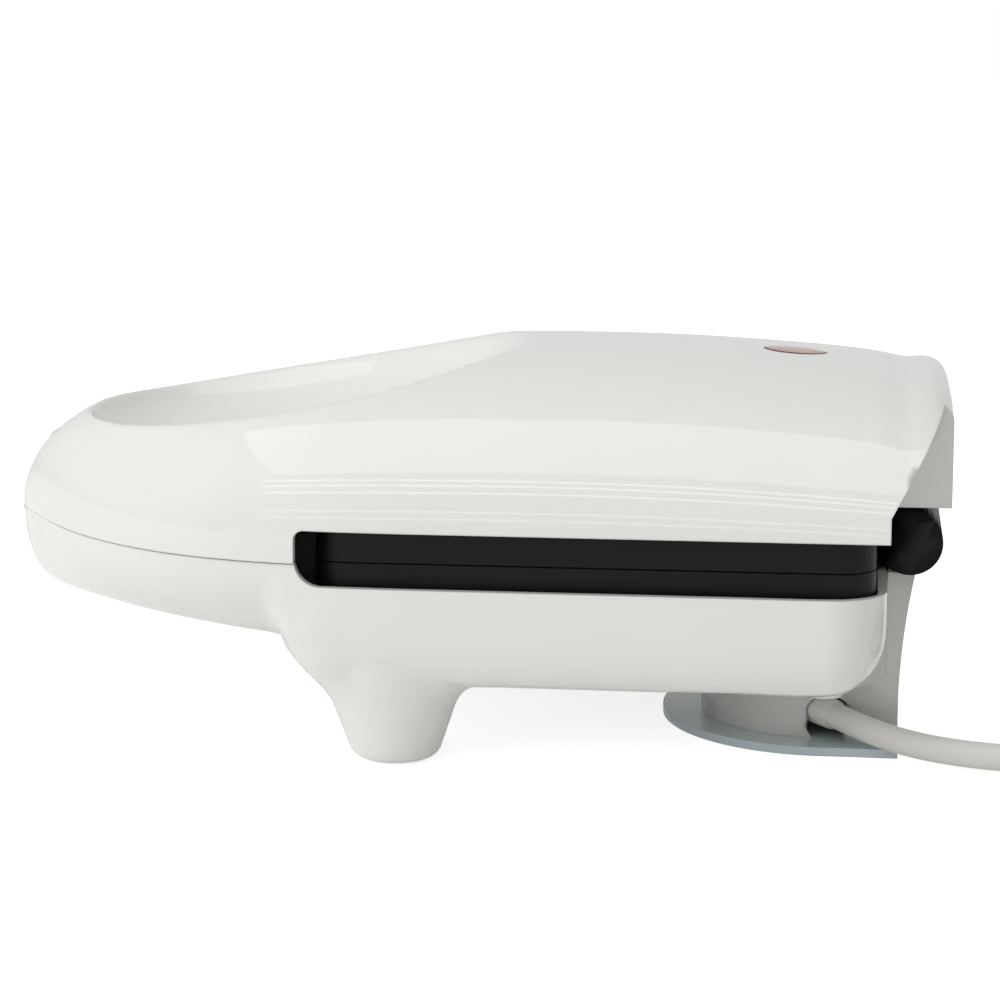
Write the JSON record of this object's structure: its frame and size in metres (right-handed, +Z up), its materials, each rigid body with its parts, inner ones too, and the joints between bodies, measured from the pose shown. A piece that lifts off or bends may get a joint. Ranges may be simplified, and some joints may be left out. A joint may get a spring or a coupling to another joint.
{
  "type": "donut maker",
  "caption": "Electric donut maker with a hinged domed lid, ring-mould plates, a nose latch, cone feet and a cord-wrap stand.",
  "frame": {"origin": "on the table, under the middle of the body's box, cord left out", "axes": "+X from the handle nose to the hinge, +Z up, the pictured side faces -Y"},
  "size_m": [0.3924, 0.1752, 0.1073],
  "materials": {
    "white_gloss_plastic": "moulded gloss",
    "pale_plastic": "moulded gloss",
    "rubber_pads": "matt",
    "black_nonstick": "non-stick coat",
    "black_plastic": "moulded",
    "steel": "plain",
    "reflector_sheet": "bright",
    "inner_plastic": "moulded",
    "cord_pvc": "satin",
    "plug_metal": "nickel plated",
    "lens": "translucent",
    "lamp": "clear"
  },
  "bodies": {
    "base": {"base_housing": "white_gloss_plastic", "rear_stand": "white_gloss_plastic", "cord_wrap_plate": "pale_plastic", "front_foot_pads": "rubber_pads", "rear_foot_pads": "rubber_pads", "lower_plate": "black_nonstick", "lower_heater": "steel", "lower_reflector": "reflector_sheet", "lower_plate_screws": "steel", "stand_screws": "steel", "wrap_plate_screws": "steel", "terminal_block": "inner_plastic", "cord_clamp": "inner_plastic", "cord_gland": "cord_pvc", "thermostat": "steel", "thermal_fuse": "steel", "base_knuckle_near": "black_plastic", "base_knuckle_far": "black_plastic", "hinge_pin": "steel", "power_cord": "cord_pvc", "cord_coil": "cord_pvc", "cord_tie": "cord_pvc", "plug_body": "cord_pvc", "plug_pins": "plug_metal"},
    "lid": {"lid_housing": "white_gloss_plastic", "lid_knuckle": "black_plastic", "hinge_arm_screws": "steel", "upper_plate": "black_nonstick", "upper_heater": "steel", "upper_reflector": "reflector_sheet", "upper_plate_screws": "steel", "indicator_lens": "lens", "indicator_bezel": "black_plastic", "neon_lamp": "lamp", "lamp_holder": "inner_plastic", "latch_pin": "steel"},
    "latch": {"latch": "white_gloss_plastic"}
  },
  "joints": [
    {"name": "lid_hinge", "type": "hinge", "parent": "base", "child": "lid", "pos_m": [0.1232, 0, 0.0585], "axis": [0, 1, 0], "range_deg": [0, 105]},
    {"name": "latch_hinge", "type": "hinge", "parent": "lid", "child": "latch", "pos_m": [-0.1205, 0, 0.07624], "axis": [0, 1, 0], "range_deg": [0, 35]}
  ]
}
